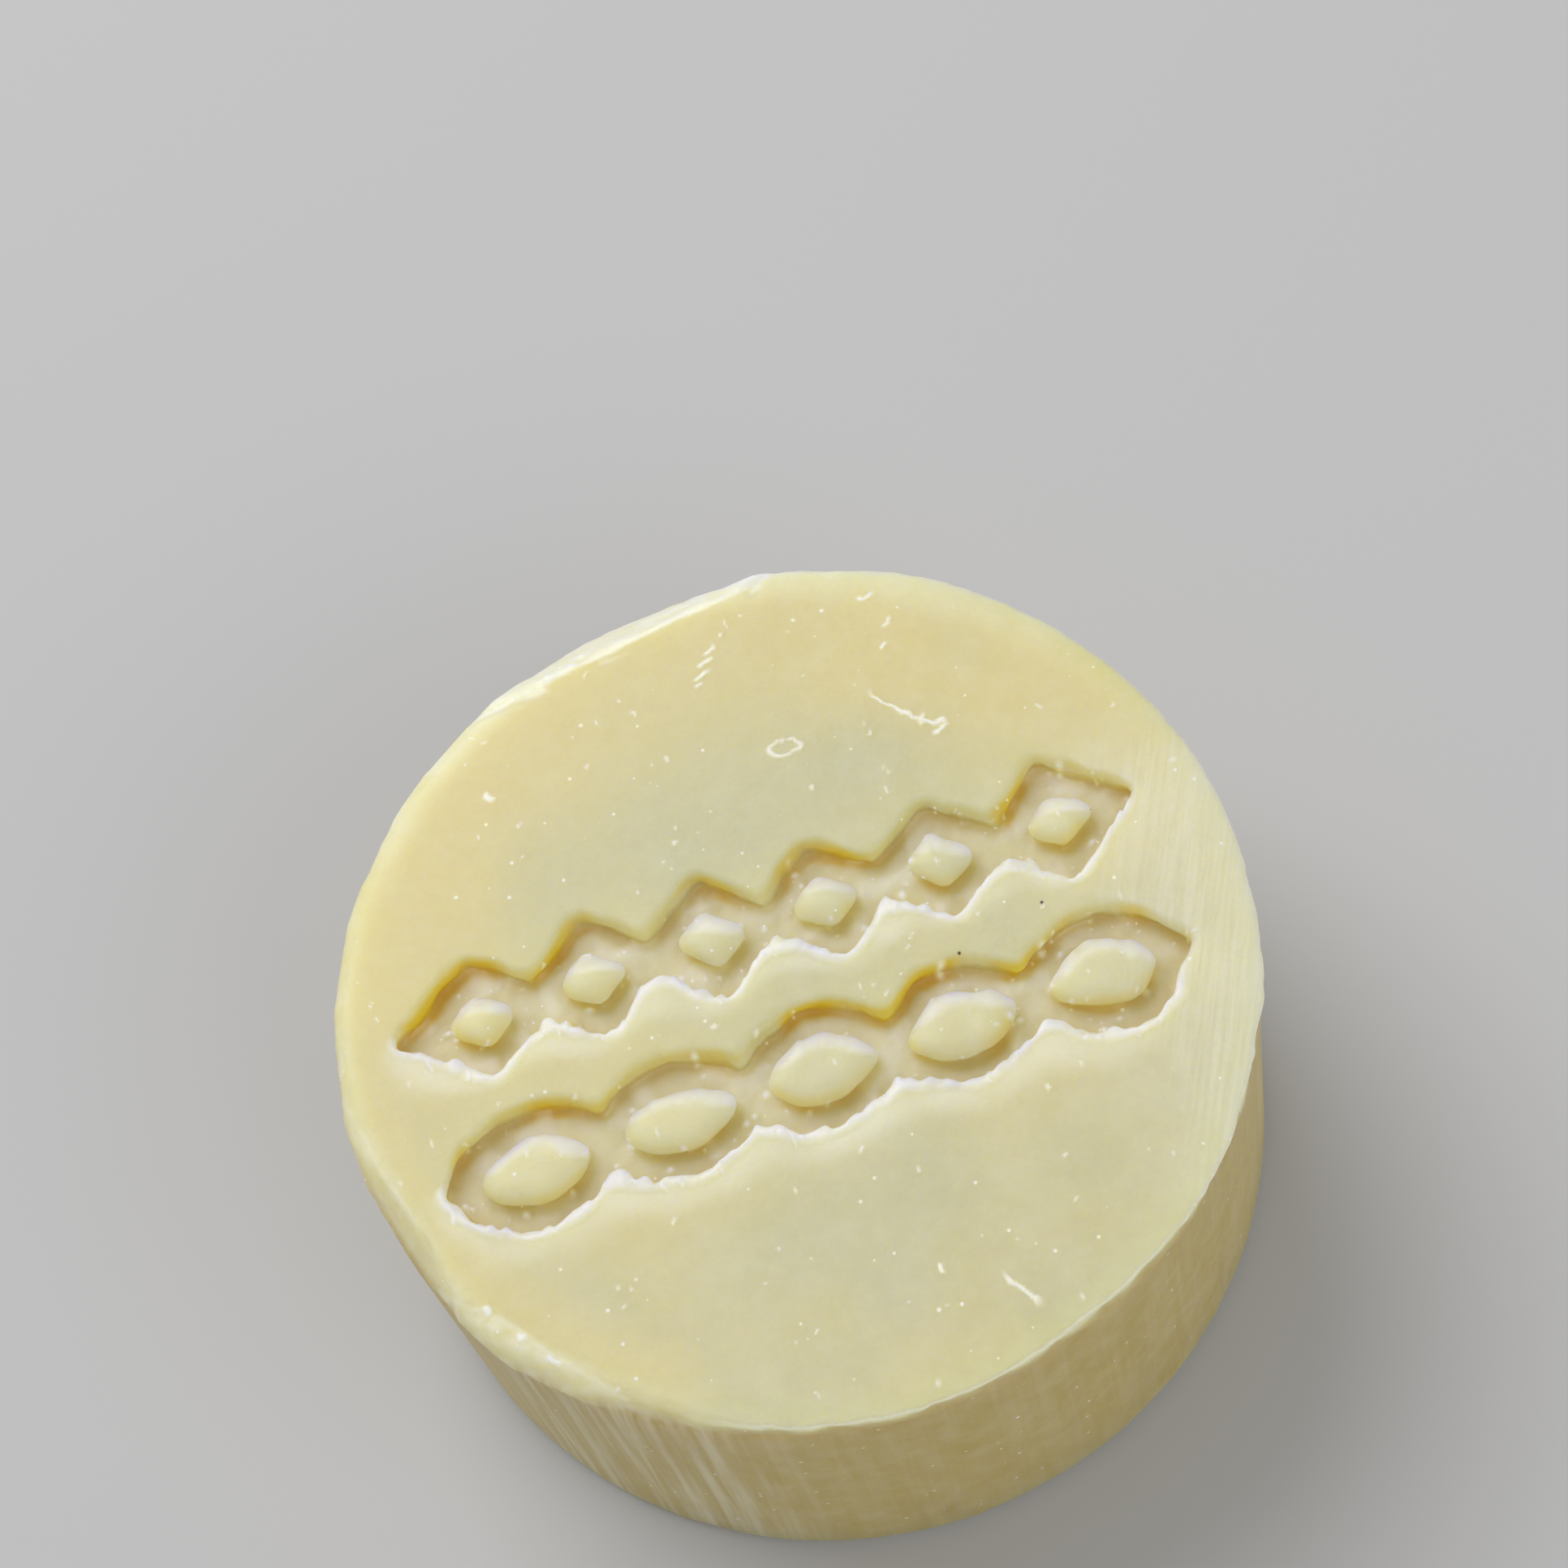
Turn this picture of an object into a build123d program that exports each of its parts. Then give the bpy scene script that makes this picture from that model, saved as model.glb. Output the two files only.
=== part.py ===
"""A round shampoo bar: one solid, cast in a tube, sliced square and stamped on one face.

The bar lies on its back face. The origin is at the centre of that face, +Z is up through
the stamped face, and +Y is the upright direction of the two stamped rows. Millimetres.
"""

import os
from math import hypot, sqrt

from build123d import *

# The blank, sliced from the log that was cast in the tube. A knife takes the sharp edge off
# in two flats round the face, which follow a round of this radius, and in one round the back.
bar_diameter = 66
bar_thickness = 30
face_edge_radius = 1.3
back_edge_bevel = 1.0

# Facets pared off the face's rim by hand: direction from +X in degrees, how far the cut
# reaches in on the face, and how far it runs down the side
pared_facets = [
    (98, 2.3, 1.9),
    (196, 1.5, 2.4),
    (221, 1.1, 1.4),
]

# The stamp: a chain of lozenges above a chain of pointed ovals. A cell's reach is the height
# of its centre line above the row's middle, and a stroke is pressed along that line. The rim
# margin runs from the bar's side to the tip of a row's centre line. The walls lean outwards
# by the draft, in degrees.
rim_margin = 7
row_gap = 3.2
gap_centre_y = -1.8
stamp_depth = 1.9
stamp_draft = 9
stroke_width = 2.2
lozenge_count = 6
lozenge_reach = 3.4
oval_count = 5
oval_reach = 3.3
corner_radius = 0.7
island_radius = 0.65
lip_bevel = 0.3

stamped_face = Plane.XY.offset(bar_thickness)


def lozenge(half_width, half_height):
    """An upright lozenge, drawn about its centre."""
    with BuildSketch() as shape:
        Polygon(
            (half_width, 0),
            (0, half_height),
            (-half_width, 0),
            (0, -half_height),
        )
    return shape.sketch


def pointed_oval(arc_radius, centre_offset):
    """The lens that two equal circles share."""
    with BuildSketch() as shape:
        with Locations((0, -centre_offset)):
            Circle(arc_radius)
        with Locations((0, centre_offset)):
            Circle(arc_radius, mode=Mode.INTERSECT)
    return shape.sketch


def row_die(cell, island, pitch, count, row_y):
    """The part of the stamp that presses one row: cells run together, islands left standing."""
    with BuildPart() as die:
        with BuildSketch(stamped_face) as row:
            with Locations((0, row_y)):
                with GridLocations(pitch, 0, count, 1):
                    add(cell)
            fillet(row.vertices(), radius=corner_radius)
            with Locations((0, row_y)):
                with GridLocations(pitch, 0, count, 1):
                    add(island, mode=Mode.SUBTRACT)
        extrude(amount=-stamp_depth)
        walls = die.faces().filter_by(Axis.Z, reverse=True)
        draft(walls, neutral_plane=stamped_face, angle=stamp_draft)
    return die.part


def rounded(shape):
    """The same outline with its points worn round."""
    with BuildSketch() as worn:
        add(shape)
        fillet(worn.vertices(), radius=island_radius)
    return worn.sketch


# Each row's cells are a centre line, widened by half a stroke outwards and inwards
bar_radius = bar_diameter / 2
row_length = bar_diameter - 2 * rim_margin

lozenge_pitch = row_length / lozenge_count
lozenge_side = hypot(lozenge_pitch / 2, lozenge_reach)
lozenge_inradius = lozenge_pitch / 2 * lozenge_reach / lozenge_side
lozenge_growth = (stroke_width / 2) / lozenge_inradius

oval_pitch = row_length / oval_count
oval_arc = ((oval_pitch / 2) ** 2 + oval_reach**2) / (2 * oval_reach)
oval_offset = oval_arc - oval_reach

lozenge_half_height = lozenge_reach * (1 + lozenge_growth)
oval_half_height = oval_reach + stroke_width / 2
lozenge_row_y = gap_centre_y + row_gap / 2 + lozenge_half_height
oval_row_y = gap_centre_y - row_gap / 2 - oval_half_height

lozenge_row = row_die(
    cell=lozenge(lozenge_pitch / 2 * (1 + lozenge_growth), lozenge_half_height),
    island=rounded(
        lozenge(lozenge_pitch / 2 * (1 - lozenge_growth), lozenge_reach * (1 - lozenge_growth))
    ),
    pitch=lozenge_pitch,
    count=lozenge_count,
    row_y=lozenge_row_y,
)

oval_row = row_die(
    cell=pointed_oval(oval_arc + stroke_width / 2, oval_offset),
    island=rounded(pointed_oval(oval_arc - stroke_width / 2, oval_offset)),
    pitch=oval_pitch,
    count=oval_count,
    row_y=oval_row_y,
)

# The two flats meet on the round that they follow, halfway along it
flats_inset = face_edge_radius * (1 - sqrt(0.5))

with BuildPart() as shampoo_bar:
    with BuildSketch(Plane.XZ):
        with BuildLine():
            Polyline(
                (0, 0),
                (bar_radius - back_edge_bevel, 0),
                (bar_radius, back_edge_bevel),
                (bar_radius, bar_thickness - face_edge_radius),
                (bar_radius - flats_inset, bar_thickness - flats_inset),
                (bar_radius - face_edge_radius, bar_thickness),
                (0, bar_thickness),
                close=True,
            )
        make_face()
    revolve(axis=Axis.Z)

    # Each facet is one slanting slice through the rim
    for direction, inset, drop in pared_facets:
        outward = Vector(1, 0, 0).rotate(Axis.Z, direction)
        slice_start = outward * (bar_radius - inset) + Vector(0, 0, bar_thickness)
        slope = outward * drop + Vector(0, 0, inset)
        split(bisect_by=Plane(slice_start, z_dir=slope), keep=Keep.BOTTOM)

    add(lozenge_row, mode=Mode.SUBTRACT)
    add(oval_row, mode=Mode.SUBTRACT)

    # The pressed edges are blunt: bevel the mouths of the two prints and their islands
    tops = shampoo_bar.faces().filter_by(Axis.Z).group_by(Axis.Z)[-1]
    face_plate = tops.sort_by(SortBy.AREA)[-1]
    pressed_edges = face_plate.inner_wires().edges() + (tops - [face_plate]).edges()
    chamfer(pressed_edges, length=lip_bevel)

shampoo_bar.part.label = "shampoo_bar"

os.makedirs("parts", exist_ok=True)
export_step(shampoo_bar.part, "parts/shampoo_bar.step")
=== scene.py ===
"""A round shampoo bar of cast soap, stamped and pared by hand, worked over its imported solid."""

import itertools
import math

import bmesh
import bpy
import numpy as np
from bpy.props import FloatProperty, FloatVectorProperty, IntProperty, PointerProperty
from mathutils import Matrix, Vector
from mathutils.bvhtree import BVHTree


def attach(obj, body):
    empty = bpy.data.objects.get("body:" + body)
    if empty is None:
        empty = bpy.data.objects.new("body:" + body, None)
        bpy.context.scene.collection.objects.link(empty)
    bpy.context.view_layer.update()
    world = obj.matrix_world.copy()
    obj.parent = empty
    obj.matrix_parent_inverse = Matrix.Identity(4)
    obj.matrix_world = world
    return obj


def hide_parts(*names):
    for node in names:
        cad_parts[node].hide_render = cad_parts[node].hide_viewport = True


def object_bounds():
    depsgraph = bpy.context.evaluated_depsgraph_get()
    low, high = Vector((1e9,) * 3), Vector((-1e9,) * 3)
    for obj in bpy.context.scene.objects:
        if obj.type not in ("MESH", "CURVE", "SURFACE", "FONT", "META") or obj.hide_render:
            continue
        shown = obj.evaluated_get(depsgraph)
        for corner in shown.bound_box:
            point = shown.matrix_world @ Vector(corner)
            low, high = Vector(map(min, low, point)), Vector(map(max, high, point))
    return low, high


bl_info = {
    "name": "Shampoo Bar",
    "version": (1, 0, 0),
    "blender": (4, 5, 0),
    "location": "View3D > Sidebar > Soap",
    "description": "Works a stamped shampoo bar up from its packed solid, and lights it",
    "category": "Object",
}

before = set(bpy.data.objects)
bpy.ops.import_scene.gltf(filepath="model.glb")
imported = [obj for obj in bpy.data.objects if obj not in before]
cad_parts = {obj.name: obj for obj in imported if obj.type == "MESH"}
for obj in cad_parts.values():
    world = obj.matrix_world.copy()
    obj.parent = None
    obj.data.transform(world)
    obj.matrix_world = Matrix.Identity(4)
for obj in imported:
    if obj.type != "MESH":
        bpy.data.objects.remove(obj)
CAD_LOW, CAD_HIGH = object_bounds()

# Meshes are in metres. The soap is worked in millimetres, as its maker would measure it
MM = 0.001
RIM = (CAD_HIGH.x - CAD_LOW.x) / 2 / MM
FACE = CAD_HIGH.z / MM


def colour(code):
    """An sRGB hex code as linear red, green and blue."""
    channels = [int(code[i : i + 2], 16) / 255 for i in (1, 3, 5)]
    return tuple(c / 12.92 if c <= 0.04045 else ((c + 0.055) / 1.055) ** 2.4 for c in channels)


class SoapShape(bpy.types.PropertyGroup):
    """Sizes of the hand work on the bar."""

    grain: FloatProperty(
        name="Mesh Grain",
        description="Size of the even cells that the soap is worked in",
        default=0.17 * MM,
        unit="LENGTH",
        precision=5,
    )
    triangles: IntProperty(
        name="Triangles",
        description="How many triangles the finished bar may have",
        default=190000,
        min=1000,
    )
    wander: FloatProperty(
        name="Outline Wander",
        description="How far the stamped outlines stray from the die's",
        default=0.42 * MM,
        unit="LENGTH",
        precision=5,
    )
    tear: FloatProperty(
        name="Tearing",
        description="How far the dragged edges are torn ragged",
        default=0.34 * MM,
        unit="LENGTH",
        precision=5,
    )
    lip: FloatProperty(
        name="Lip Height",
        description="How high the soap is dragged up along the print",
        default=0.22 * MM,
        unit="LENGTH",
        precision=5,
    )
    slump: FloatProperty(
        name="Slump",
        description="How far the islands have sunk into pillows",
        default=0.5 * MM,
        unit="LENGTH",
        precision=5,
    )
    swell: FloatProperty(
        name="Swell",
        description="How far the islands' sides have bulged",
        default=0.5 * MM,
        unit="LENGTH",
        precision=5,
    )
    uneven: FloatProperty(
        name="Unevenness",
        description="How far the cut face rises and falls",
        default=0.09 * MM,
        unit="LENGTH",
        precision=5,
    )


class SoapColours(bpy.types.PropertyGroup):
    """Colours of the soap."""

    body: FloatVectorProperty(
        name="Body",
        description="The soap's own pale straw, a little green",
        default=colour("#CCC9A3"),
        subtype="COLOR",
        min=0,
        max=1,
    )
    warm: FloatVectorProperty(
        name="Warm Patches",
        description="Where the soap has dried yellower",
        default=colour("#DDD197"),
        subtype="COLOR",
        min=0,
        max=1,
    )
    # Partly painted shade: the tube's skin, set darker and more olive than the face all round the
    # side
    skin: FloatVectorProperty(
        name="Side",
        description="The olive skin that set against the tube",
        default=colour("#C9B36A"),
        subtype="COLOR",
        min=0,
        max=1,
    )
    streak: FloatVectorProperty(
        name="Side Streaks",
        description="The pale drag marks of the tube",
        default=colour("#E6DDB8"),
        subtype="COLOR",
        min=0,
        max=1,
    )
    # Painted shade: amber put into the colour in the stamp's corners and on its walls that lie in
    # shade
    amber_shade: FloatVectorProperty(
        name="Pressed Corners",
        description="The deep amber that light turns in the corners of the stamp",
        default=colour("#DCBE28"),
        subtype="COLOR",
        min=0,
        max=1,
    )
    # Also painted light: the same near white is a painted highlight on the lips, round them and on
    # the rim that faces the lamp, and lightens the print's shaded floor
    frost_and_highlight: FloatVectorProperty(
        name="Bruised Edges",
        description="The near white of thin lips, chips and scratches",
        default=colour("#F5F4E6"),
        subtype="COLOR",
        min=0,
        max=1,
    )
    grit: FloatVectorProperty(
        name="Grit",
        description="The few dark specks in the soap",
        default=colour("#3A3020"),
        subtype="COLOR",
        min=0,
        max=1,
    )


class SoapStage(bpy.types.PropertyGroup):
    """The floor, lights and camera."""

    floor: FloatVectorProperty(
        name="Floor",
        description="The plain pale floor",
        default=colour("#C6C6C7"),
        subtype="COLOR",
        min=0,
        max=1,
    )
    key: FloatProperty(
        name="Key Light",
        description="Strength of the soft lamp behind the bar",
        default=5.5,
        min=0,
        unit="POWER",
    )
    fill: FloatProperty(
        name="Fill Light",
        description="Strength of the weak wide lamp in front of the bar",
        default=0.9,
        min=0,
        unit="POWER",
    )
    sky: FloatProperty(
        name="Room Light",
        description="Strength of the even light from all round",
        default=0.38,
        min=0,
    )
    lens: FloatProperty(
        name="Lens",
        description="Focal length on a 36 mm wide sensor, in millimetres",
        default=74.5,
        min=1,
    )


# Facets pared off the rim: direction from +X in degrees, how far in the cut starts in mm, and
# how white the knife left it
PARED_FACETS = ((98, 2.3, 0.75), (196, 1.5, 0.15), (221, 1.1, 0.3))

# Knocks and scratches that stand white on the face: middle, length, width and direction from
# +X in degrees. Places and lengths here and below are in mm
SCRATCHES = (
    (13.8, 17.4, 5.8, 0.26, -54),
    (15.9, 15.3, 2.6, 0.34, -12),
    (16.4, 14.6, 1.7, 0.36, 20),
    (15.2, 15.6, 1.3, 0.3, 70),
    (1.2, 25.4, 1.5, 0.3, 25),
    (1.8, 26.4, 1.6, 0.36, 20),
    (2.2, 27.3, 1.4, 0.3, 28),
    (0.7, 24.5, 1.0, 0.26, 18),
    (14.8, 27.2, 1.8, 0.4, 15),
    (15.4, 24.6, 1.3, 0.34, 40),
    (14.6, 22.6, 0.9, 0.26, 30),
    (8.0, -27.8, 4.0, 0.3, -58),
    (3.5, -24.5, 1.1, 0.34, 75),
    (-16.7, 21.3, 0.9, 0.6, 40),
    (-26.8, -16.9, 1.0, 0.55, -66),
    (-25.0, -19.5, 0.9, 0.5, -40),
    (-23.2, -21.8, 1.3, 0.5, -50),
    (-8.2, 30.2, 2.0, 0.5, -15),
    (-9.6, 29.5, 1.6, 0.4, -28),
    (-7.0, 30.9, 1.3, 0.4, -40),
)
# The flake that lifted and left a ring: middle, half length and half width
FLAKE = (5.2, 17.2, 1.2, 0.65)
GRIT_SPOTS = ((18.6, -1.4), (11.9, -3.0), (-4.2, -5.6), (24.4, 4.6))
GRIT_RADIUS = 0.07
# How many places are tried for crumbs and for tears: few of them fall where one can be
CRUMBS = 1600
TEARS = 900
# Small nicks all over the face
NICKS = 170
# What the hand work leaves on the mesh for the material to colour: yellow patches, amber corners
# that are painted shade, white bruises with painted highlight among them, the tube's skin that is
# partly painted shade, its streaks, and the knife's lines
MARKS = ("warm", "amber_shade", "frost_and_highlight", "side", "drag", "combed")

# How far the small forms stand out or sink in, in mm
ROLLED_EDGE = 0.4
PILLOW_LUMPS = 0.14
HEAVED_FACE = 0.12
FLOOR_LUMPS = 0.11
FLOOR_GRAIN = 0.07
BURR = 0.08
FLAKE_RING = 0.09
PARING_FIBRES = 0.07
PARING_CHIPS = 0.3
SIDE_WAVES = 0.05
# How high a crumb stands, as a share of its radius
CRUMB_HEIGHT = 0.7
# How much of the way the sharp part of the rim is pulled out to a square corner
SQUARED = 0.85
# How much further in than its cut, in mm, a pared facet is torn
TORN_BACK = 0.6

# The way that the die dragged the soap, along X and Y
DRAG = (0.4, 0.9)
# Further in from the rim than this, in mm, only the print has corners on top
PRINT_INSET = 4
# Further in than this, in mm, the pared rim has ended and only the print is below the face
PARED_INSET = 3
# Further below the face than this, in mm, the bar is plain
PLAIN_BELOW = 3.2
# Corners of the solid that are closer than this, in mm, are welded
WELD = 0.001

# The camera's place in mm, and the ways that the picture's right and top point
CAMERA_PLACE = (0.3, -100.03, 236.08)
CAMERA_RIGHT = (0.94546, -0.29229, -0.14380)
CAMERA_UP = (0.32531, 0.82444, 0.46311)


def smoothstep(low, high, value):
    """0 on the low side, 1 on the high side and a smooth rise between."""
    t = np.clip((value - low) / (high - low), 0, 1)
    return t * t * (3 - 2 * t)


def soft_noise(points, size, seed):
    """Smooth noise from -1 to 1 with swells of that size in mm, the same on each run."""
    count = 64
    lattice = np.random.default_rng(seed).uniform(-1, 1, (count, count, count))
    cell = points / size
    base = np.floor(cell).astype(int)
    t = cell - base
    t = t * t * (3 - 2 * t)
    total = np.zeros(len(points))
    for corner in itertools.product((0, 1), repeat=3):
        index = (base + corner) % count
        weight = np.prod(np.where(corner, t, 1 - t), axis=1)
        total += weight * lattice[index[:, 0], index[:, 1], index[:, 2]]
    return total


class Relief:
    """How deep the stamp goes under each spot of the face: 0 is the face and 1 the floor.

    It is a grid of square cells with a margin round the print, both given in mm.
    """

    cell = 0.15
    margin = 3.0

    def __init__(self, solid):
        tree = BVHTree.FromPolygons(
            [v.co for v in solid.vertices], [p.vertices for p in solid.polygons]
        )
        corners = np.array([v.co / MM for v in solid.vertices])
        inside = np.hypot(corners[:, 0], corners[:, 1]) < RIM - PRINT_INSET
        printed = corners[inside & (corners[:, 2] > FACE / 2), :2]
        self.low = printed.min(axis=0) - self.margin
        across = printed.max(axis=0) + self.margin - self.low
        self.size = (across / self.cell).astype(int)
        depth = np.zeros(self.size)
        for i, j in np.ndindex(*self.size):
            x, y = self.low + np.array((i, j)) * self.cell
            start = Vector((x, y, FACE + 1)) * MM
            if math.hypot(x, y) < RIM - PARED_INSET:
                depth[i, j] = FACE - tree.ray_cast(start, Vector((0, 0, -1)))[0].z / MM
        self.depth = depth.max()
        self.pressed = depth / self.depth
        self.islands = self.left_standing()

    def left_standing(self):
        """1 on what stands at face height inside the print, and 0 elsewhere."""
        standing = self.pressed < 0.5
        around = np.zeros(self.size, bool)
        around[0] = True
        reached = 0
        while around.sum() > reached:
            reached = around.sum()
            around[1:] |= around[:-1]
            around[:-1] |= around[1:]
            around[:, 1:] |= around[:, :-1]
            around[:, :-1] |= around[:, 1:]
            around &= standing
        return (standing & ~around).astype(float)

    def blurred(self, field, radius):
        """A field blurred by a bell curve of that radius in mm."""
        reach = int(3 * radius / self.cell) + 1
        steps = np.arange(-reach, reach + 1) * self.cell
        bell = np.exp(-((steps / radius) ** 2) / 2)
        bell /= bell.sum()
        for axis in (0, 1):
            field = np.apply_along_axis(np.convolve, axis, field, bell, "same")
        return field

    def rise(self, radius):
        """How fast the print deepens per mm in the die's direction of drag, when blurred."""
        along_x, along_y = np.gradient(self.blurred(self.pressed, radius), self.cell)
        return DRAG[0] * along_x + DRAG[1] * along_y

    def at(self, field, points):
        """The field's value under each point."""
        spot = np.clip((points[:, :2] - self.low) / self.cell, 0, self.size - 1.001)
        corner = spot.astype(int)
        (i, j), (s, t) = corner.T, (spot - corner).T
        return (
            field[i, j] * (1 - s) * (1 - t)
            + field[i + 1, j] * s * (1 - t)
            + field[i, j + 1] * (1 - s) * t
            + field[i + 1, j + 1] * s * t
        )


class Soap:
    """The bar's mesh as points in mm to be pushed about, with marks that colour it."""

    def __init__(self, mesh):
        count = len(mesh.vertices)
        flat = np.empty(count * 3, np.float32)
        mesh.vertices.foreach_get("co", flat)
        self.mesh = mesh
        self.points = flat.reshape(-1, 3).astype(float) / MM
        ends = np.empty(len(mesh.edges) * 2, np.int32)
        mesh.edges.foreach_get("vertices", ends)
        self.ends = ends.reshape(-1, 2).T
        self.neighbours = np.bincount(ends, minlength=count)
        self.marks = {name: np.zeros(count) for name in MARKS}

    def polar(self):
        """Each point's distance from the middle, degrees from +X, and direction outwards."""
        x, y = self.points[:, 0], self.points[:, 1]
        distance = np.hypot(x, y)
        outward = self.points[:, :2] / np.maximum(distance, 0.001)[:, None]
        return distance, np.degrees(np.arctan2(y, x)) % 360, outward

    def smooth(self, times, share):
        """Moves each point towards the mean of its neighbours, by its own share."""
        a, b = self.ends
        count = len(self.points)
        for _, axis in itertools.product(range(times), range(3)):
            line = self.points[:, axis]
            total = np.bincount(a, line[b], count) + np.bincount(b, line[a], count)
            line += share * (total / self.neighbours - line)

    def mark(self, name, values):
        """Deepens a mark to these values, where they are stronger."""
        self.marks[name] = np.maximum(self.marks[name], np.clip(values, 0, 1))

    def store(self):
        """Puts the points back in the mesh, with the marks as attributes."""
        self.mesh.vertices.foreach_set("co", (self.points * MM).astype(np.float32).ravel())
        for name, values in self.marks.items():
            attribute = self.mesh.attributes.new(name, "FLOAT", "POINT")
            attribute.data.foreach_set("value", values.astype(np.float32))
        self.mesh.update()


def apply_modifiers(piece):
    """Gives the piece the mesh that its modifiers make, and clears them."""
    depsgraph = bpy.context.evaluated_depsgraph_get()
    mesh = bpy.data.meshes.new_from_object(piece.evaluated_get(depsgraph))
    piece.modifiers.clear()
    piece.data = mesh


def raw_bar(grain):
    """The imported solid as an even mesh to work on, and the solid's own welded mesh."""
    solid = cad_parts["shampoo_bar"].data.copy()
    weld = bmesh.new()
    weld.from_mesh(solid)
    bmesh.ops.remove_doubles(weld, verts=weld.verts, dist=WELD * MM)
    weld.to_mesh(solid)
    weld.free()

    bar = bpy.data.objects.new("cast_soap_bar", solid)
    bpy.context.scene.collection.objects.link(bar)
    even = bar.modifiers.new("even", "REMESH")
    even.mode = "VOXEL"
    even.voxel_size = grain
    apply_modifiers(bar)
    return bar, solid


def work_stamp(soap, relief, shape):
    """The die went in by hand.

    Its outlines wander. It dragged up the edges that face +Y, which tore white, with painted
    highlight there, and the others rolled over, with painted amber shade on them. The islands and
    the ridge between the rows slumped into pillows.
    """
    points = soap.points
    start = points.copy()
    height = start[:, 2]
    distance = soap.polar()[0]
    pressed = relief.at(relief.blurred(relief.pressed, radius=0.25), start)
    wall = relief.at(relief.blurred(relief.pressed, radius=0.55), start)
    crowded_field = relief.blurred(relief.pressed, radius=0.9)
    crowded = relief.at(crowded_field, start)
    rise_field = relief.rise(radius=0.7)
    rise = relief.at(rise_field, start)
    dragged = smoothstep(0.02, 0.25, rise)
    rolled = smoothstep(0.02, 0.25, -rise)

    # How much of each point belongs to the print, its top, its floor, its walls and its islands
    in_print = smoothstep(FACE - 3.0, FACE - 2.3, height)
    in_print *= smoothstep(RIM - 1.8, RIM - 3.6, distance)
    on_top = in_print * smoothstep(FACE - 0.7, FACE - 0.3, height)
    on_floor = in_print * smoothstep(FACE - relief.depth + 0.4, FACE - relief.depth + 0.1, height)
    edge = smoothstep(0.05, 0.3, pressed) * smoothstep(0.98, 0.75, pressed)
    standing = relief.at(relief.blurred(relief.islands, radius=0.3), start)
    island = on_top * smoothstep(0.2, 0.6, standing)
    pillow = in_print * smoothstep(0.1, 0.5, standing) * smoothstep(FACE - 1.6, FACE - 0.8, height)

    # The outlines stray and the islands swell, and then the edges tear, most where dragged
    inward = np.gradient(relief.blurred(relief.islands, radius=0.5), relief.cell)
    for axis in (0, 1):
        wander = soft_noise(start, 5.5, 10 + axis) + 0.7 * soft_noise(start, 2.0, 20 + axis)
        points[:, axis] += in_print * wander * shape.wander / MM
        points[:, axis] -= pillow * relief.at(inward[axis], start) * shape.swell / MM
    drawn = start * (1, 0.5, 0.35)
    teeth = 1.6 * np.abs(soft_noise(drawn, 1.0, 30)) - 0.5 + 0.6 * soft_noise(drawn, 0.5, 31)
    torn_edge = in_print * edge * (0.3 + 0.7 * dragged) * teeth * shape.tear / MM
    points[:, 1] += torn_edge
    points[:, 0] += 0.5 * torn_edge

    # The islands slump and the edges that weren't dragged roll over
    points[:, 2] -= island * (0.2 + 0.8 * smoothstep(0.02, 0.5, wall)) * shape.slump / MM
    points[:, 2] -= on_top * (1 - island) * rolled * smoothstep(0.08, 0.5, wall) * ROLLED_EDGE
    soap.smooth(2, 0.4 * in_print)
    soap.smooth(14, 0.6 * on_top * edge * rolled * (1 - island))
    soap.smooth(12, 0.6 * pillow)
    points[:, 2] += PILLOW_LUMPS * pillow * soft_noise(start, 1.7, 54)
    heaved = on_top * (1 - island) * smoothstep(0.05, 0.4, crowded)
    points[:, 2] += HEAVED_FACE * heaved * (soft_noise(start, 2.3, 53) - 0.3)

    # Lips stand along the dragged edges, and the die didn't leave the floor quite flat
    ragged = 0.75 + 0.5 * soft_noise(start, 1.4, 51) + 0.4 * soft_noise(start, 0.55, 52)
    lip = on_top * dragged * smoothstep(0.05, 0.3, crowded) * np.clip(ragged, 0, 1)
    points[:, 2] += lip * (1 - island) * shape.lip / MM
    lumps = soft_noise(start, 1.5, 55)
    grain = soft_noise(start, 0.65, 56)
    points[:, 2] += on_floor * (FLOOR_LUMPS * lumps + FLOOR_GRAIN * grain)

    # Painted shade in amber at the foot of the walls and on the walls that rolled over, away from
    # the lamp, less beside the islands
    sunk = np.clip((FACE - height) / relief.depth, 0, 1)
    foot_shade = 0.28 * smoothstep(0.05, 0.42, sunk - crowded)
    shaded = rolled * smoothstep(0.12, 0.45, wall) * smoothstep(0.96, 0.66, wall)
    shaded *= np.clip(0.55 + 1.1 * soft_noise(start, 3.2, 57), 0.2, 1)
    islands_near = relief.at(relief.blurred(relief.islands, radius=0.8), start)
    beside = smoothstep(0.03, 0.25, islands_near)
    soap.mark("amber_shade", in_print * np.maximum(foot_shade, shaded) * (1 - 0.4 * beside))

    # White on the torn lips and in a haze round them, partly painted highlight where they face the
    # lamp, faintly on the islands, and painted light on the print's shaded floor, most on its
    # lumps
    haze_and_highlight = on_top * smoothstep(0.01, 0.13, relief.at(relief.rise(radius=1.8), start))
    haze_and_highlight *= 0.38 + 0.2 * soft_noise(start, 2.6, 58)
    soap.mark("frost_and_highlight", np.maximum(lip**0.5 * (0.95 - 0.2 * island), haze_and_highlight))
    soap.mark("frost_and_highlight", 0.12 * island + on_floor * (0.1 + 0.3 * smoothstep(0, 0.7, lumps)))
    soap.mark("warm", 0.85 * on_floor)

    scatter_crumbs(soap, relief, start, in_print)

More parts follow.
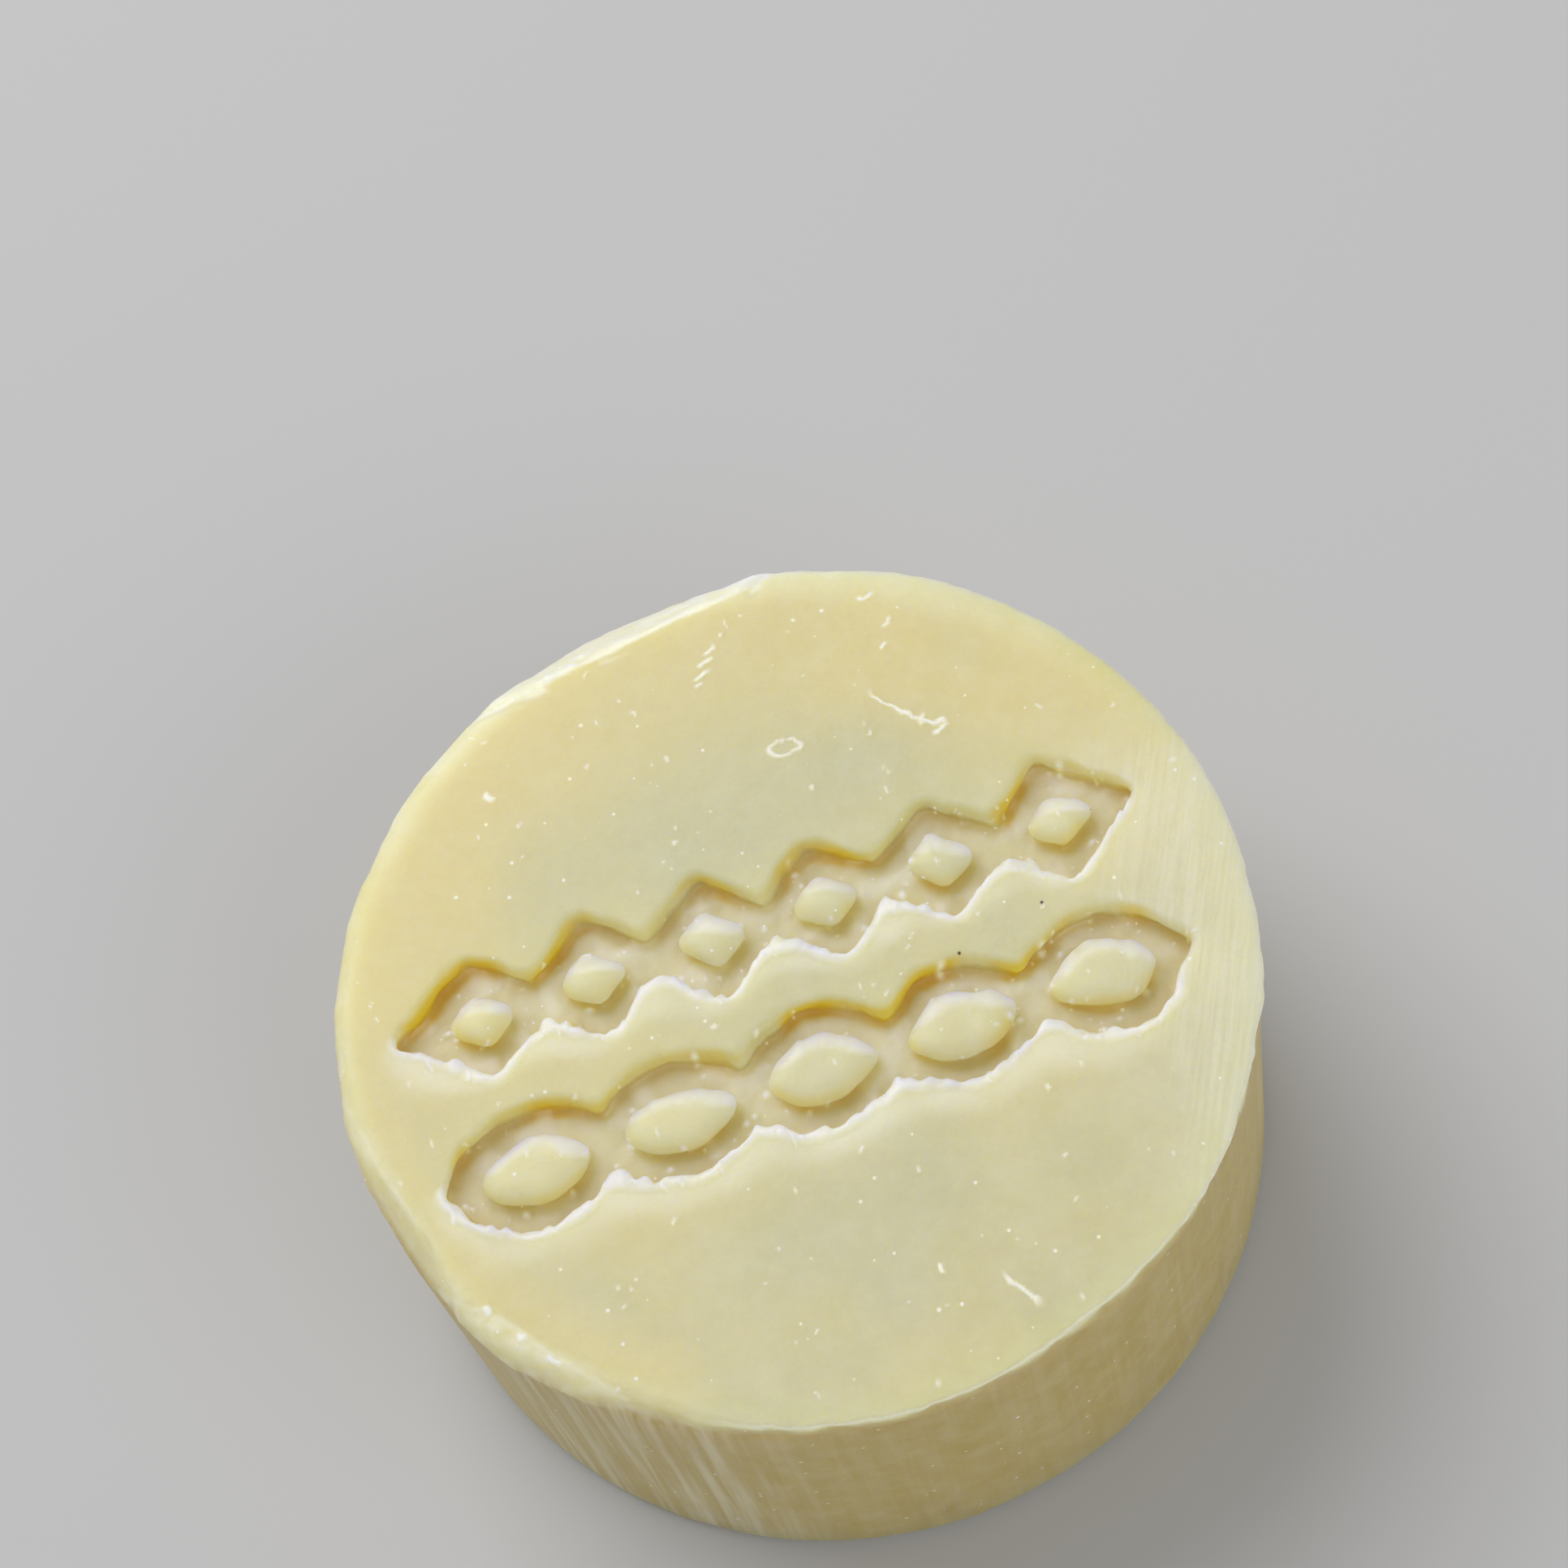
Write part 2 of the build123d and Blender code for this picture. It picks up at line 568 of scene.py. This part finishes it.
    # Small tears in the face, off the edges that were dragged
    random = np.random.default_rng(11)
    spots = start[:, :2] + wobble(start)
    share = on_top * (1 - 0.65 * island)
    places = relief.low + random.uniform(0, 1, (TEARS, 2)) * relief.size * relief.cell
    torn = relief.at(rise_field, places) > 0.2
    for place in places[torn & (relief.at(crowded_field, places) < 0.5)]:
        length, width, turn = random.uniform((0.7, 0.15, 45), (1.9, 0.32, 105))
        scar_soap(soap, spots, share, (*place, length, width, turn))


def scatter_crumbs(soap, relief, start, in_print):
    """Crumbs that the die tore loose and left in the print, most along its edges."""
    random = np.random.default_rng(7)
    inside = np.flatnonzero(in_print > 0.5)
    places = relief.low + random.uniform(0, 1, (CRUMBS, 2)) * relief.size * relief.cell
    pressed = relief.at(relief.blurred(relief.pressed, radius=0.3), places)
    chance = np.where(pressed > 0.9, 0.18, 0.45) * smoothstep(0.2, 0.5, pressed)
    places = places[random.uniform(0, 1, CRUMBS) < chance]
    radii = 0.1 + 0.24 * random.uniform(0, 1, len(places)) ** 3
    spots = start[inside, :2]
    for place, radius in zip(places, radii):
        close = np.exp(-(((spots - place) / radius) ** 2).sum(axis=1))
        soap.points[inside, 2] += close * radius * CRUMB_HEIGHT
        soap.marks["frost_and_highlight"][inside] = np.maximum(soap.marks["frost_and_highlight"][inside], close * 0.9)


def wobble(points):
    """Small shifts, in mm, that keep scars from running straight."""
    return 0.25 * np.stack([soft_noise(points, 0.7, 60 + i) for i in range(2)], axis=1)


def scar_soap(soap, spots, share, scar):
    """Raises a thin white burr: middle, length, width and direction from +X in degrees."""
    x, y, length, width, turn = scar
    close = np.flatnonzero(np.abs(spots - (x, y)).max(axis=1) < length)
    along = np.array((math.cos(math.radians(turn)), math.sin(math.radians(turn))))
    offset = spots[close] - (x, y)
    u = np.abs(offset @ along) / (length / 2)
    v = np.abs(offset @ (-along[1], along[0])) / (width / 2)
    burr = share[close] * smoothstep(1.0, 0.5, u) * smoothstep(1.4, 0.4, v)
    soap.points[close, 2] += BURR * burr
    soap.marks["frost_and_highlight"][close] = np.maximum(soap.marks["frost_and_highlight"][close], burr)


def work_face(soap, shape):
    """The wire left the cut face slightly uneven, and it has been knocked and scratched."""
    points = soap.points
    start = points.copy()
    on_face = smoothstep(FACE - 1.2, FACE - 0.6, start[:, 2])
    spots = start[:, :2] + wobble(start)
    for scratch in SCRATCHES:
        scar_soap(soap, spots, on_face, scratch)
    random = np.random.default_rng(17)
    for place in random.uniform(-RIM, RIM, (NICKS, 2)):
        length, width, turn = random.uniform((0.25, 0.12, 20), (0.8, 0.3, 100))
        scar_soap(soap, spots, 0.75 * on_face, (*place, length, width, turn))
    x, y, half_length, half_width = FLAKE
    out = np.hypot(*((spots - (x, y)) / (half_length, half_width)).T)
    ring = on_face * smoothstep(0.7, 0.95, out) * smoothstep(1.25, 1.0, out)
    points[:, 2] += FLAKE_RING * ring
    soap.mark("frost_and_highlight", 0.9 * ring)

    # The face sinks by as much as it swells and as its lips stand, to stay under the solid's top
    upper = smoothstep(FACE - 3.5, FACE - 1.0, start[:, 2])
    swell = 0.6 * soft_noise(start, 16, 61) + 0.3 * soft_noise(start, 5, 62)
    swell += 0.1 * soft_noise(start, 1.2, 63)
    points[:, 2] += upper * (swell * shape.uneven - shape.uneven - shape.lip) / MM

    # Yellow patches, most near the upper rim and least low down and above the print's middle
    x, y = start[:, 0], start[:, 1]
    distance = np.hypot(x, y)
    patches = 0.48 + 0.22 * soft_noise(start, 15, 64) + 0.18 * soft_noise(start, 5, 65)
    patches += 0.6 * smoothstep(16, 27, distance) * smoothstep(-6, 10, y)
    patches -= 0.25 * smoothstep(-8, -20, y)
    patches -= 0.4 * np.exp(-((((x - 3) / 15) ** 2) + ((y - 12) / 6) ** 2))
    combed = smoothstep(13, 29, x) * smoothstep(16, 3, y)
    soap.mark("warm", patches - 0.35 * combed)
    soap.mark("frost_and_highlight", 0.2 * on_face * combed)
    soap.mark("combed", on_face * combed)


def work_rim(soap):
    """A knife rounded the rim at the top and left. At the right it is sharp, with burrs."""
    points = soap.points
    distance, around, outward = soap.polar()
    height = points[:, 2].copy()
    # The knife rounded it from 82 degrees to 236, and the rest is pulled out to a square corner
    sharp = np.maximum(smoothstep(236, 250, around), smoothstep(82, 76, around))
    near = smoothstep(RIM - 2.4, RIM - 1.2, distance) * smoothstep(FACE - 2.4, FACE - 1.4, height)
    pull = near * sharp * SQUARED
    points[:, :2] += outward * (pull * (RIM - distance))[:, None]
    points[:, 2] += pull * (FACE - height)

    # Its outline is wavy, most where it was hacked, from 185 degrees to 350
    wave = soft_noise(points, 6, 71) + 0.5 * soft_noise(points, 2.2, 72)
    wave += 0.35 * soft_noise(points, 0.9, 73)
    hacked = smoothstep(185, 195, around) * smoothstep(350, 330, around)
    reach = sharp * (0.12 + 0.2 * wave) + (1 - sharp) * (0.22 * wave + 0.05)
    reach += hacked * (0.15 * wave + 0.3 * soft_noise(points, 9, 76))
    brim = smoothstep(RIM - 3.5, RIM - 0.8, distance) * smoothstep(FACE - 5, FACE - 1.2, height)
    points[:, :2] += outward * (brim * reach)[:, None]
    soap.smooth(8, 0.5 * near * (1 - sharp))

    # White where it is thin or frayed, and painted highlight on the far side, from 25 degrees to
    # 155, which faces the lamp
    fray = 0.65 + 0.35 * soft_noise(points * (1, 1, 2), 1.6, 74)
    rounded = smoothstep(RIM - 2.3, RIM - 0.7, distance) * (1 - sharp) * fray
    thin = smoothstep(RIM - 0.7, RIM - 0.15, distance) * sharp
    thin *= smoothstep(FACE - 0.9, FACE - 0.35, points[:, 2])
    upper = smoothstep(FACE - 3.0, FACE - 1.5, height)
    soap.mark("frost_and_highlight", np.maximum(0.3 * rounded * upper, 0.75 * thin))
    far_side_highlight = smoothstep(25, 50, around) * smoothstep(155, 130, around)
    soap.mark("frost_and_highlight", 0.6 * far_side_highlight * fray * smoothstep(RIM - 3.2, RIM - 0.8, distance) * upper)
    soap.mark("warm", smoothstep(RIM - 9, RIM - 3, distance) * (1 - sharp) * 0.8)
    for direction, inset, white in PARED_FACETS:
        turn = math.radians(direction)
        out = points[:, :2] @ (math.cos(turn), math.sin(turn))
        start = RIM - inset - TORN_BACK
        out += 0.25 * wave + 0.3 * soft_noise(points, 3.5, 77)
        pared = smoothstep(start - 0.15, start + 0.25, out) * upper
        line = pared * smoothstep(start + 0.7, start + 0.35, out)
        fibres = soft_noise(points * (0.5, 1, 1), 0.7, 75)
        chips = smoothstep(0.0, 0.5, soft_noise(points, 1.8, 78)) * upper * white
        chips *= smoothstep(start - 0.9, start - 0.1, out) * smoothstep(start + 1.2, start, out)
        points[:, 2] += pared * PARING_FIBRES * fibres - PARING_CHIPS * chips
        soap.mark("frost_and_highlight", chips)
        soap.mark("frost_and_highlight", pared * (white + 0.25 * fibres))
        soap.mark("frost_and_highlight", line * (white + 0.15))


def work_side(soap):
    """The tube dragged long shallow waves down the side as the log was pushed out."""
    points = soap.points
    distance, around, outward = soap.polar()
    side = smoothstep(RIM - 0.7, RIM - 0.3, distance) * smoothstep(FACE, FACE - 2.5, points[:, 2])
    drag = soft_noise(points * (1, 1, 0.06), 3.0, 81)
    points[:, :2] -= outward * (side * (SIDE_WAVES + SIDE_WAVES * drag))[:, None]
    # Streaks are strong round 230 degrees from +X, and high up just before +X
    fibrous = smoothstep(205, 218, around) * smoothstep(258, 240, around)
    scuffed = smoothstep(344, 351, around) * smoothstep(FACE - 18, FACE - 8, points[:, 2])
    soap.mark("side", side)
    soap.mark("drag", side * np.maximum(0.16, np.maximum(0.8 * fibrous, scuffed)))


def thin_out(bar, triangles):
    """Takes out triangles, sooner from the plain side and back than from the face."""
    thin_first = bar.vertex_groups.new(name="thin_first")
    count = len(bar.data.vertices)
    places = np.empty(count * 3, np.float32)
    bar.data.vertices.foreach_get("co", places)
    plain = np.flatnonzero(places.reshape(-1, 3)[:, 2] < (FACE - PLAIN_BELOW) * MM)
    # The face weighs a tenth of what the plain part does
    thin_first.add(range(count), 0.1, "REPLACE")
    thin_first.add(plain.tolist(), 1.0, "REPLACE")
    thin = bar.modifiers.new("thin", "DECIMATE")
    thin.ratio = triangles / (2 * len(bar.data.polygons))
    thin.vertex_group = thin_first.name
    # On an edge of the face this counts as much as a squared error of some 0.01 mm elsewhere
    thin.vertex_group_factor = 3e-7
    apply_modifiers(bar)
    if len(bar.data.polygons) > 1.05 * triangles:
        raise RuntimeError("the bar has more triangles than it may")


def clear_specks(bar):
    """Takes out stray specks: pairs of triangles back to back, all that thinning left of them."""
    mesh = bmesh.new()
    mesh.from_mesh(bar.data)
    specks = [v for v in mesh.verts if len(v.link_faces) < 3]
    bmesh.ops.delete(mesh, geom=specks, context="VERTS")
    mesh.to_mesh(bar.data)
    mesh.free()


def add_node(tree, kind, inputs=None, **settings):
    """Adds a node with its settings, and gives each input a value or a link."""
    made = tree.nodes.new(kind)
    for name, value in settings.items():
        setattr(made, name, value)
    for name, value in (inputs or {}).items():
        if isinstance(value, bpy.types.NodeSocket):
            tree.links.new(value, made.inputs[name])
        else:
            made.inputs[name].default_value = value
    return made


def cast_soap(colours):
    """Cast soap: poured in a tube, cut with a wire and stamped while it was still soft.

    Red and green light sink several millimetres into it and blue hardly more than one, so
    edges glow and shaded walls go amber, and that amber is also painted into the colour as shade.
    It has a dull waxy gloss, fine bubbles and crumbs, and bruises white wherever it is scratched;
    the white is also painted highlight along the lips and on the rim that faces the lamp,
    and the side's colour is partly painted shade.
    """
    material = bpy.data.materials.new("cast_soap")
    material.use_nodes = True
    tree = material.node_tree
    tree.nodes.clear()
    paint = {name: (*getattr(colours, name), 1) for name in colours.__annotations__}
    marks = {
        name: add_node(tree, "ShaderNodeAttribute", attribute_name=name).outputs["Fac"]
        for name in MARKS
    }
    here = add_node(
        tree,
        "ShaderNodeVectorMath",
        {0: add_node(tree, "ShaderNodeTexCoord").outputs["Object"], "Scale": 1 / MM},
        operation="SCALE",
    ).outputs[0]

    # The tube drew the skin out in streaks half a millimetre or more wide, as long as the bar
    drawn_out = add_node(
        tree, "ShaderNodeMapping", {"Vector": here, "Scale": (1.0, 1.0, 0.04)}
    ).outputs[0]
    streaks = add_node(
        tree,
        "ShaderNodeTexNoise",
        {"Vector": drawn_out, "Scale": 1 / 1.1, "Detail": 2.0, "Roughness": 0.65},
    ).outputs["Fac"]
    streaky = add_node(
        tree,
        "ShaderNodeMapRange",
        {"Value": streaks, "From Min": 0.42, "From Max": 0.66, "To Max": 0.9},
    ).outputs["Result"]

    # Fat and lye did not mix quite evenly: cloudy mottling a couple of millimetres across
    mottle = add_node(
        tree,
        "ShaderNodeTexNoise",
        {"Vector": here, "Scale": 1 / 2.4, "Detail": 3.0, "Roughness": 0.7},
    ).outputs["Fac"]
    cloud = add_node(
        tree,
        "ShaderNodeMapRange",
        {"Value": mottle, "From Min": 0.35, "From Max": 0.75, "To Max": 0.16},
    ).outputs["Result"]

    # Bubbles up to a third of a millimetre wide, in two cells out of three and no two alike
    bubbles = add_node(tree, "ShaderNodeTexVoronoi", {"Vector": here, "Scale": 1 / 1.3})
    drawn_lots = add_node(tree, "ShaderNodeSeparateColor", {0: bubbles.outputs["Color"]})
    picked = add_node(
        tree,
        "ShaderNodeMath",
        {0: drawn_lots.outputs[0], 1: 0.35},
        operation="GREATER_THAN",
    ).outputs[0]
    sized = add_node(
        tree,
        "ShaderNodeMath",
        {0: bubbles.outputs["Distance"], 1: drawn_lots.outputs[1]},
        operation="DIVIDE",
    ).outputs[0]
    close = add_node(
        tree,
        "ShaderNodeMapRange",
        {"Value": sized, "From Min": 0.18, "From Max": 0.06},
        interpolation_type="SMOOTHSTEP",
    ).outputs["Result"]
    bubble = add_node(
        tree, "ShaderNodeMath", {0: picked, 1: close}, operation="MULTIPLY"
    ).outputs[0]

    # Distances are shrunk upwards, so that grit shows however the face rises and falls there
    squat = add_node(
        tree, "ShaderNodeVectorMath", {0: here, 1: (1, 1, 0.1)}, operation="MULTIPLY"
    ).outputs[0]
    dark = None
    for x, y in GRIT_SPOTS:
        away = add_node(
            tree,
            "ShaderNodeVectorMath",
            {0: squat, 1: (x, y, 0.1 * FACE)},
            operation="DISTANCE",
        ).outputs["Value"]
        if dark is not None:
            away = add_node(
                tree, "ShaderNodeMath", {0: away, 1: dark}, operation="MINIMUM"
            ).outputs[0]
        dark = away
    gritty = add_node(
        tree,
        "ShaderNodeMapRange",
        {"Value": dark, "From Min": 2.4 * GRIT_RADIUS, "From Max": GRIT_RADIUS},
    ).outputs["Result"]

    # The knife's grain: lines a few tenths of a millimetre apart, up the right of the face
    combed = add_node(
        tree,
        "ShaderNodeMapping",
        {"Vector": here, "Rotation": (0, 0, math.radians(63)), "Scale": (6.0, 0.35, 1.0)},
        vector_type="TEXTURE",
    ).outputs[0]
    lines = add_node(
        tree, "ShaderNodeTexNoise", {"Vector": combed, "Scale": 1.0, "Detail": 1.0}
    ).outputs["Fac"]
    lines = add_node(
        tree, "ShaderNodeMath", {0: lines, 1: marks["combed"]}, operation="MULTIPLY"
    ).outputs[0]
    pale_lines = add_node(
        tree,
        "ShaderNodeMapRange",
        {"Value": lines, "From Min": 0.3, "From Max": 0.7, "To Max": 0.25},
    ).outputs["Result"]

    white = add_node(
        tree, "ShaderNodeMath", {0: marks["frost_and_highlight"], 1: bubble}, operation="MAXIMUM"
    ).outputs[0]
    streaky_side = add_node(
        tree, "ShaderNodeMath", {0: streaky, 1: marks["drag"]}, operation="MULTIPLY"
    ).outputs[0]
    # The side's tone is partly painted shade, the amber is painted shade, and the white is partly
    # painted highlight and painted light on the print's floor
    tone = paint["body"]
    for share, over in (
        (marks["warm"], "warm"),
        (pale_lines, "frost_and_highlight"),
        (marks["side"], "skin"),
        (streaky_side, "streak"),
        (cloud, "frost_and_highlight"),
        (marks["amber_shade"], "amber_shade"),
        (white, "frost_and_highlight"),
        (gritty, "grit"),
    ):
        tone = add_node(
            tree, "ShaderNodeMix", {0: share, 6: tone, 7: paint[over]}, data_type="RGBA"
        ).outputs[2]

    grain = add_node(
        tree,
        "ShaderNodeTexNoise",
        {"Vector": here, "Scale": 1 / 0.5, "Detail": 1.0, "Roughness": 0.6},
    ).outputs["Fac"]
    rough = add_node(
        tree, "ShaderNodeMath", {0: lines, 1: grain}, operation="ADD"
    ).outputs[0]
    bump = add_node(
        tree, "ShaderNodeBump", {"Height": rough, "Distance": 0.04 * MM, "Strength": 1.0}
    ).outputs["Normal"]
    gloss = add_node(
        tree,
        "ShaderNodeMapRange",
        {"Value": mottle, "From Min": 0.3, "From Max": 0.7, "To Min": 0.42, "To Max": 0.56},
    ).outputs["Result"]
    gloss = add_node(
        tree,
        "ShaderNodeMath",
        {0: marks["frost_and_highlight"], 1: -0.14, 2: gloss},
        operation="MULTIPLY_ADD",
    ).outputs[0]
    shader = add_node(
        tree,
        "ShaderNodeBsdfPrincipled",
        {
            "Base Color": tone,
            "Roughness": gloss,
            "IOR": 1.46,
            "Normal": bump,
            "Subsurface Weight": 1.0,
            "Subsurface Radius": (1.0, 0.9, 0.18),
            "Subsurface Scale": 7.5 * MM,
        },
    ).outputs[0]
    add_node(tree, "ShaderNodeOutputMaterial", {"Surface": shader})
    return material


class SOAP_OT_work_bar(bpy.types.Operator):
    """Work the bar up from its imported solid: stamp, face, rim, side and soap"""

    bl_idname = "soap.work_bar"
    bl_label = "Work the Bar"

    def execute(self, context):
        shape = context.scene.soap_shape
        bar, solid = raw_bar(shape.grain)
        soap = Soap(bar.data)
        work_stamp(soap, Relief(solid), shape)
        work_rim(soap)
        work_side(soap)
        work_face(soap, shape)
        soap.points[:, 2] = np.clip(soap.points[:, 2], 0, FACE)
        soap.store()
        thin_out(bar, shape.triangles)
        clear_specks(bar)
        bar.data.polygons.foreach_set("use_smooth", [True] * len(bar.data.polygons))
        bar.data.materials.clear()
        bar.data.materials.append(cast_soap(context.scene.soap_colours))
        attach(bar, "root")
        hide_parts("shampoo_bar")
        return {"FINISHED"}


def lay_floor(stage):
    """A matt painted floor, far wider than the view."""
    material = bpy.data.materials.new("matt_paint")
    material.use_nodes = True
    tree = material.node_tree
    tree.nodes.clear()
    shader = add_node(
        tree,
        "ShaderNodeBsdfPrincipled",
        {"Base Color": (*stage.floor, 1), "Roughness": 0.9, "Specular IOR Level": 0.1},
    ).outputs[0]
    add_node(tree, "ShaderNodeOutputMaterial", {"Surface": shader})

    sheet = bmesh.new()
    bmesh.ops.create_grid(sheet, x_segments=1, y_segments=1, size=3.0)
    mesh = bpy.data.meshes.new("floor")
    sheet.to_mesh(mesh)
    sheet.free()
    mesh.materials.append(material)
    floor = bpy.data.objects.new("floor", mesh)
    bpy.context.scene.collection.objects.link(floor)


def light_room(stage):
    """Even room light, which the camera and reflections see as the floor's own pale grey."""
    world = bpy.data.worlds.new("room")
    bpy.context.scene.world = world
    world.use_nodes = True
    tree = world.node_tree
    tree.nodes.clear()
    path = add_node(tree, "ShaderNodeLightPath").outputs
    seen = path["Is Camera Ray"]
    for ray in ("Is Glossy Ray", "Is Transmission Ray"):
        seen = add_node(
            tree, "ShaderNodeMath", {0: seen, 1: path[ray]}, operation="MAXIMUM"
        ).outputs[0]
    lit = add_node(tree, "ShaderNodeBackground", {"Color": (1, 1, 1, 1), "Strength": stage.sky})
    shown = add_node(
        tree, "ShaderNodeBackground", {"Color": (*stage.floor, 1), "Strength": 1.0}
    )
    both = add_node(
        tree, "ShaderNodeMixShader", {0: seen, 1: lit.outputs[0], 2: shown.outputs[0]}
    )
    add_node(tree, "ShaderNodeOutputWorld", {"Surface": both.outputs[0]})


def hang_lamp(name, energy, size, away):
    """A soft round lamp of that size, in metres, that shines on the face from that far away."""
    target = Vector((0, 0, FACE * MM))
    lamp = bpy.data.lights.new(name, "AREA")
    lamp.shape = "DISK"
    lamp.size = size
    lamp.energy = energy
    hung = bpy.data.objects.new(name, lamp)
    hung.location = target + Vector(away)
    hung.rotation_mode = "QUATERNION"
    hung.rotation_quaternion = (target - hung.location).to_track_quat("-Z", "Y")
    bpy.context.scene.collection.objects.link(hung)


def place_camera(stage):
    """Looks down on the stamped face, rolled so that the rows climb to the right."""
    camera = bpy.data.objects.new("camera", bpy.data.cameras.new("camera"))
    camera.data.sensor_width = 36
    camera.data.lens = stage.lens
    right = Vector(CAMERA_RIGHT).normalized()
    back = right.cross(Vector(CAMERA_UP)).normalized()
    turn = Matrix((right, back.cross(right), back)).transposed().to_4x4()
    camera.matrix_world = Matrix.Translation(Vector(CAMERA_PLACE) * MM) @ turn
    bpy.context.scene.collection.objects.link(camera)
    bpy.context.scene.camera = camera


class SOAP_OT_set_stage(bpy.types.Operator):
    """Set up the floor, the lights and the camera"""

    bl_idname = "soap.set_stage"
    bl_label = "Set the Stage"

    def execute(self, context):
        stage = context.scene.soap_stage
        lay_floor(stage)
        light_room(stage)
        # The key is behind the bar and to its left, and rakes across the stamp
        hang_lamp("key", stage.key, size=0.8, away=(-0.25, 0.5, 0.71))
        hang_lamp("fill", stage.fill, size=0.5, away=(0.3, -0.42, 0.36))
        place_camera(stage)
        context.scene.view_settings.view_transform = "Standard"
        return {"FINISHED"}


class SOAP_PT_bar(bpy.types.Panel):
    """The bar's sizes, its colours and the stage"""

    bl_label = "Shampoo Bar"
    bl_space_type = "VIEW_3D"
    bl_region_type = "UI"
    bl_category = "Soap"

    def draw(self, context):
        scene = context.scene
        for group in (scene.soap_shape, scene.soap_colours, scene.soap_stage):
            box = self.layout.box()
            for name in group.__annotations__:
                box.prop(group, name)
        self.layout.operator(SOAP_OT_work_bar.bl_idname)
        self.layout.operator(SOAP_OT_set_stage.bl_idname)


CLASSES = (SoapShape, SoapColours, SoapStage, SOAP_OT_work_bar, SOAP_OT_set_stage, SOAP_PT_bar)


def register():
    for cls in CLASSES:
        bpy.utils.register_class(cls)
    bpy.types.Scene.soap_shape = PointerProperty(type=SoapShape)
    bpy.types.Scene.soap_colours = PointerProperty(type=SoapColours)
    bpy.types.Scene.soap_stage = PointerProperty(type=SoapStage)


def unregister():
    del bpy.types.Scene.soap_stage
    del bpy.types.Scene.soap_colours
    del bpy.types.Scene.soap_shape
    for cls in reversed(CLASSES):
        bpy.utils.unregister_class(cls)


def main():
    register()
    bpy.ops.soap.work_bar()
    bpy.ops.soap.set_stage()


if __name__ == "__main__":
    main()
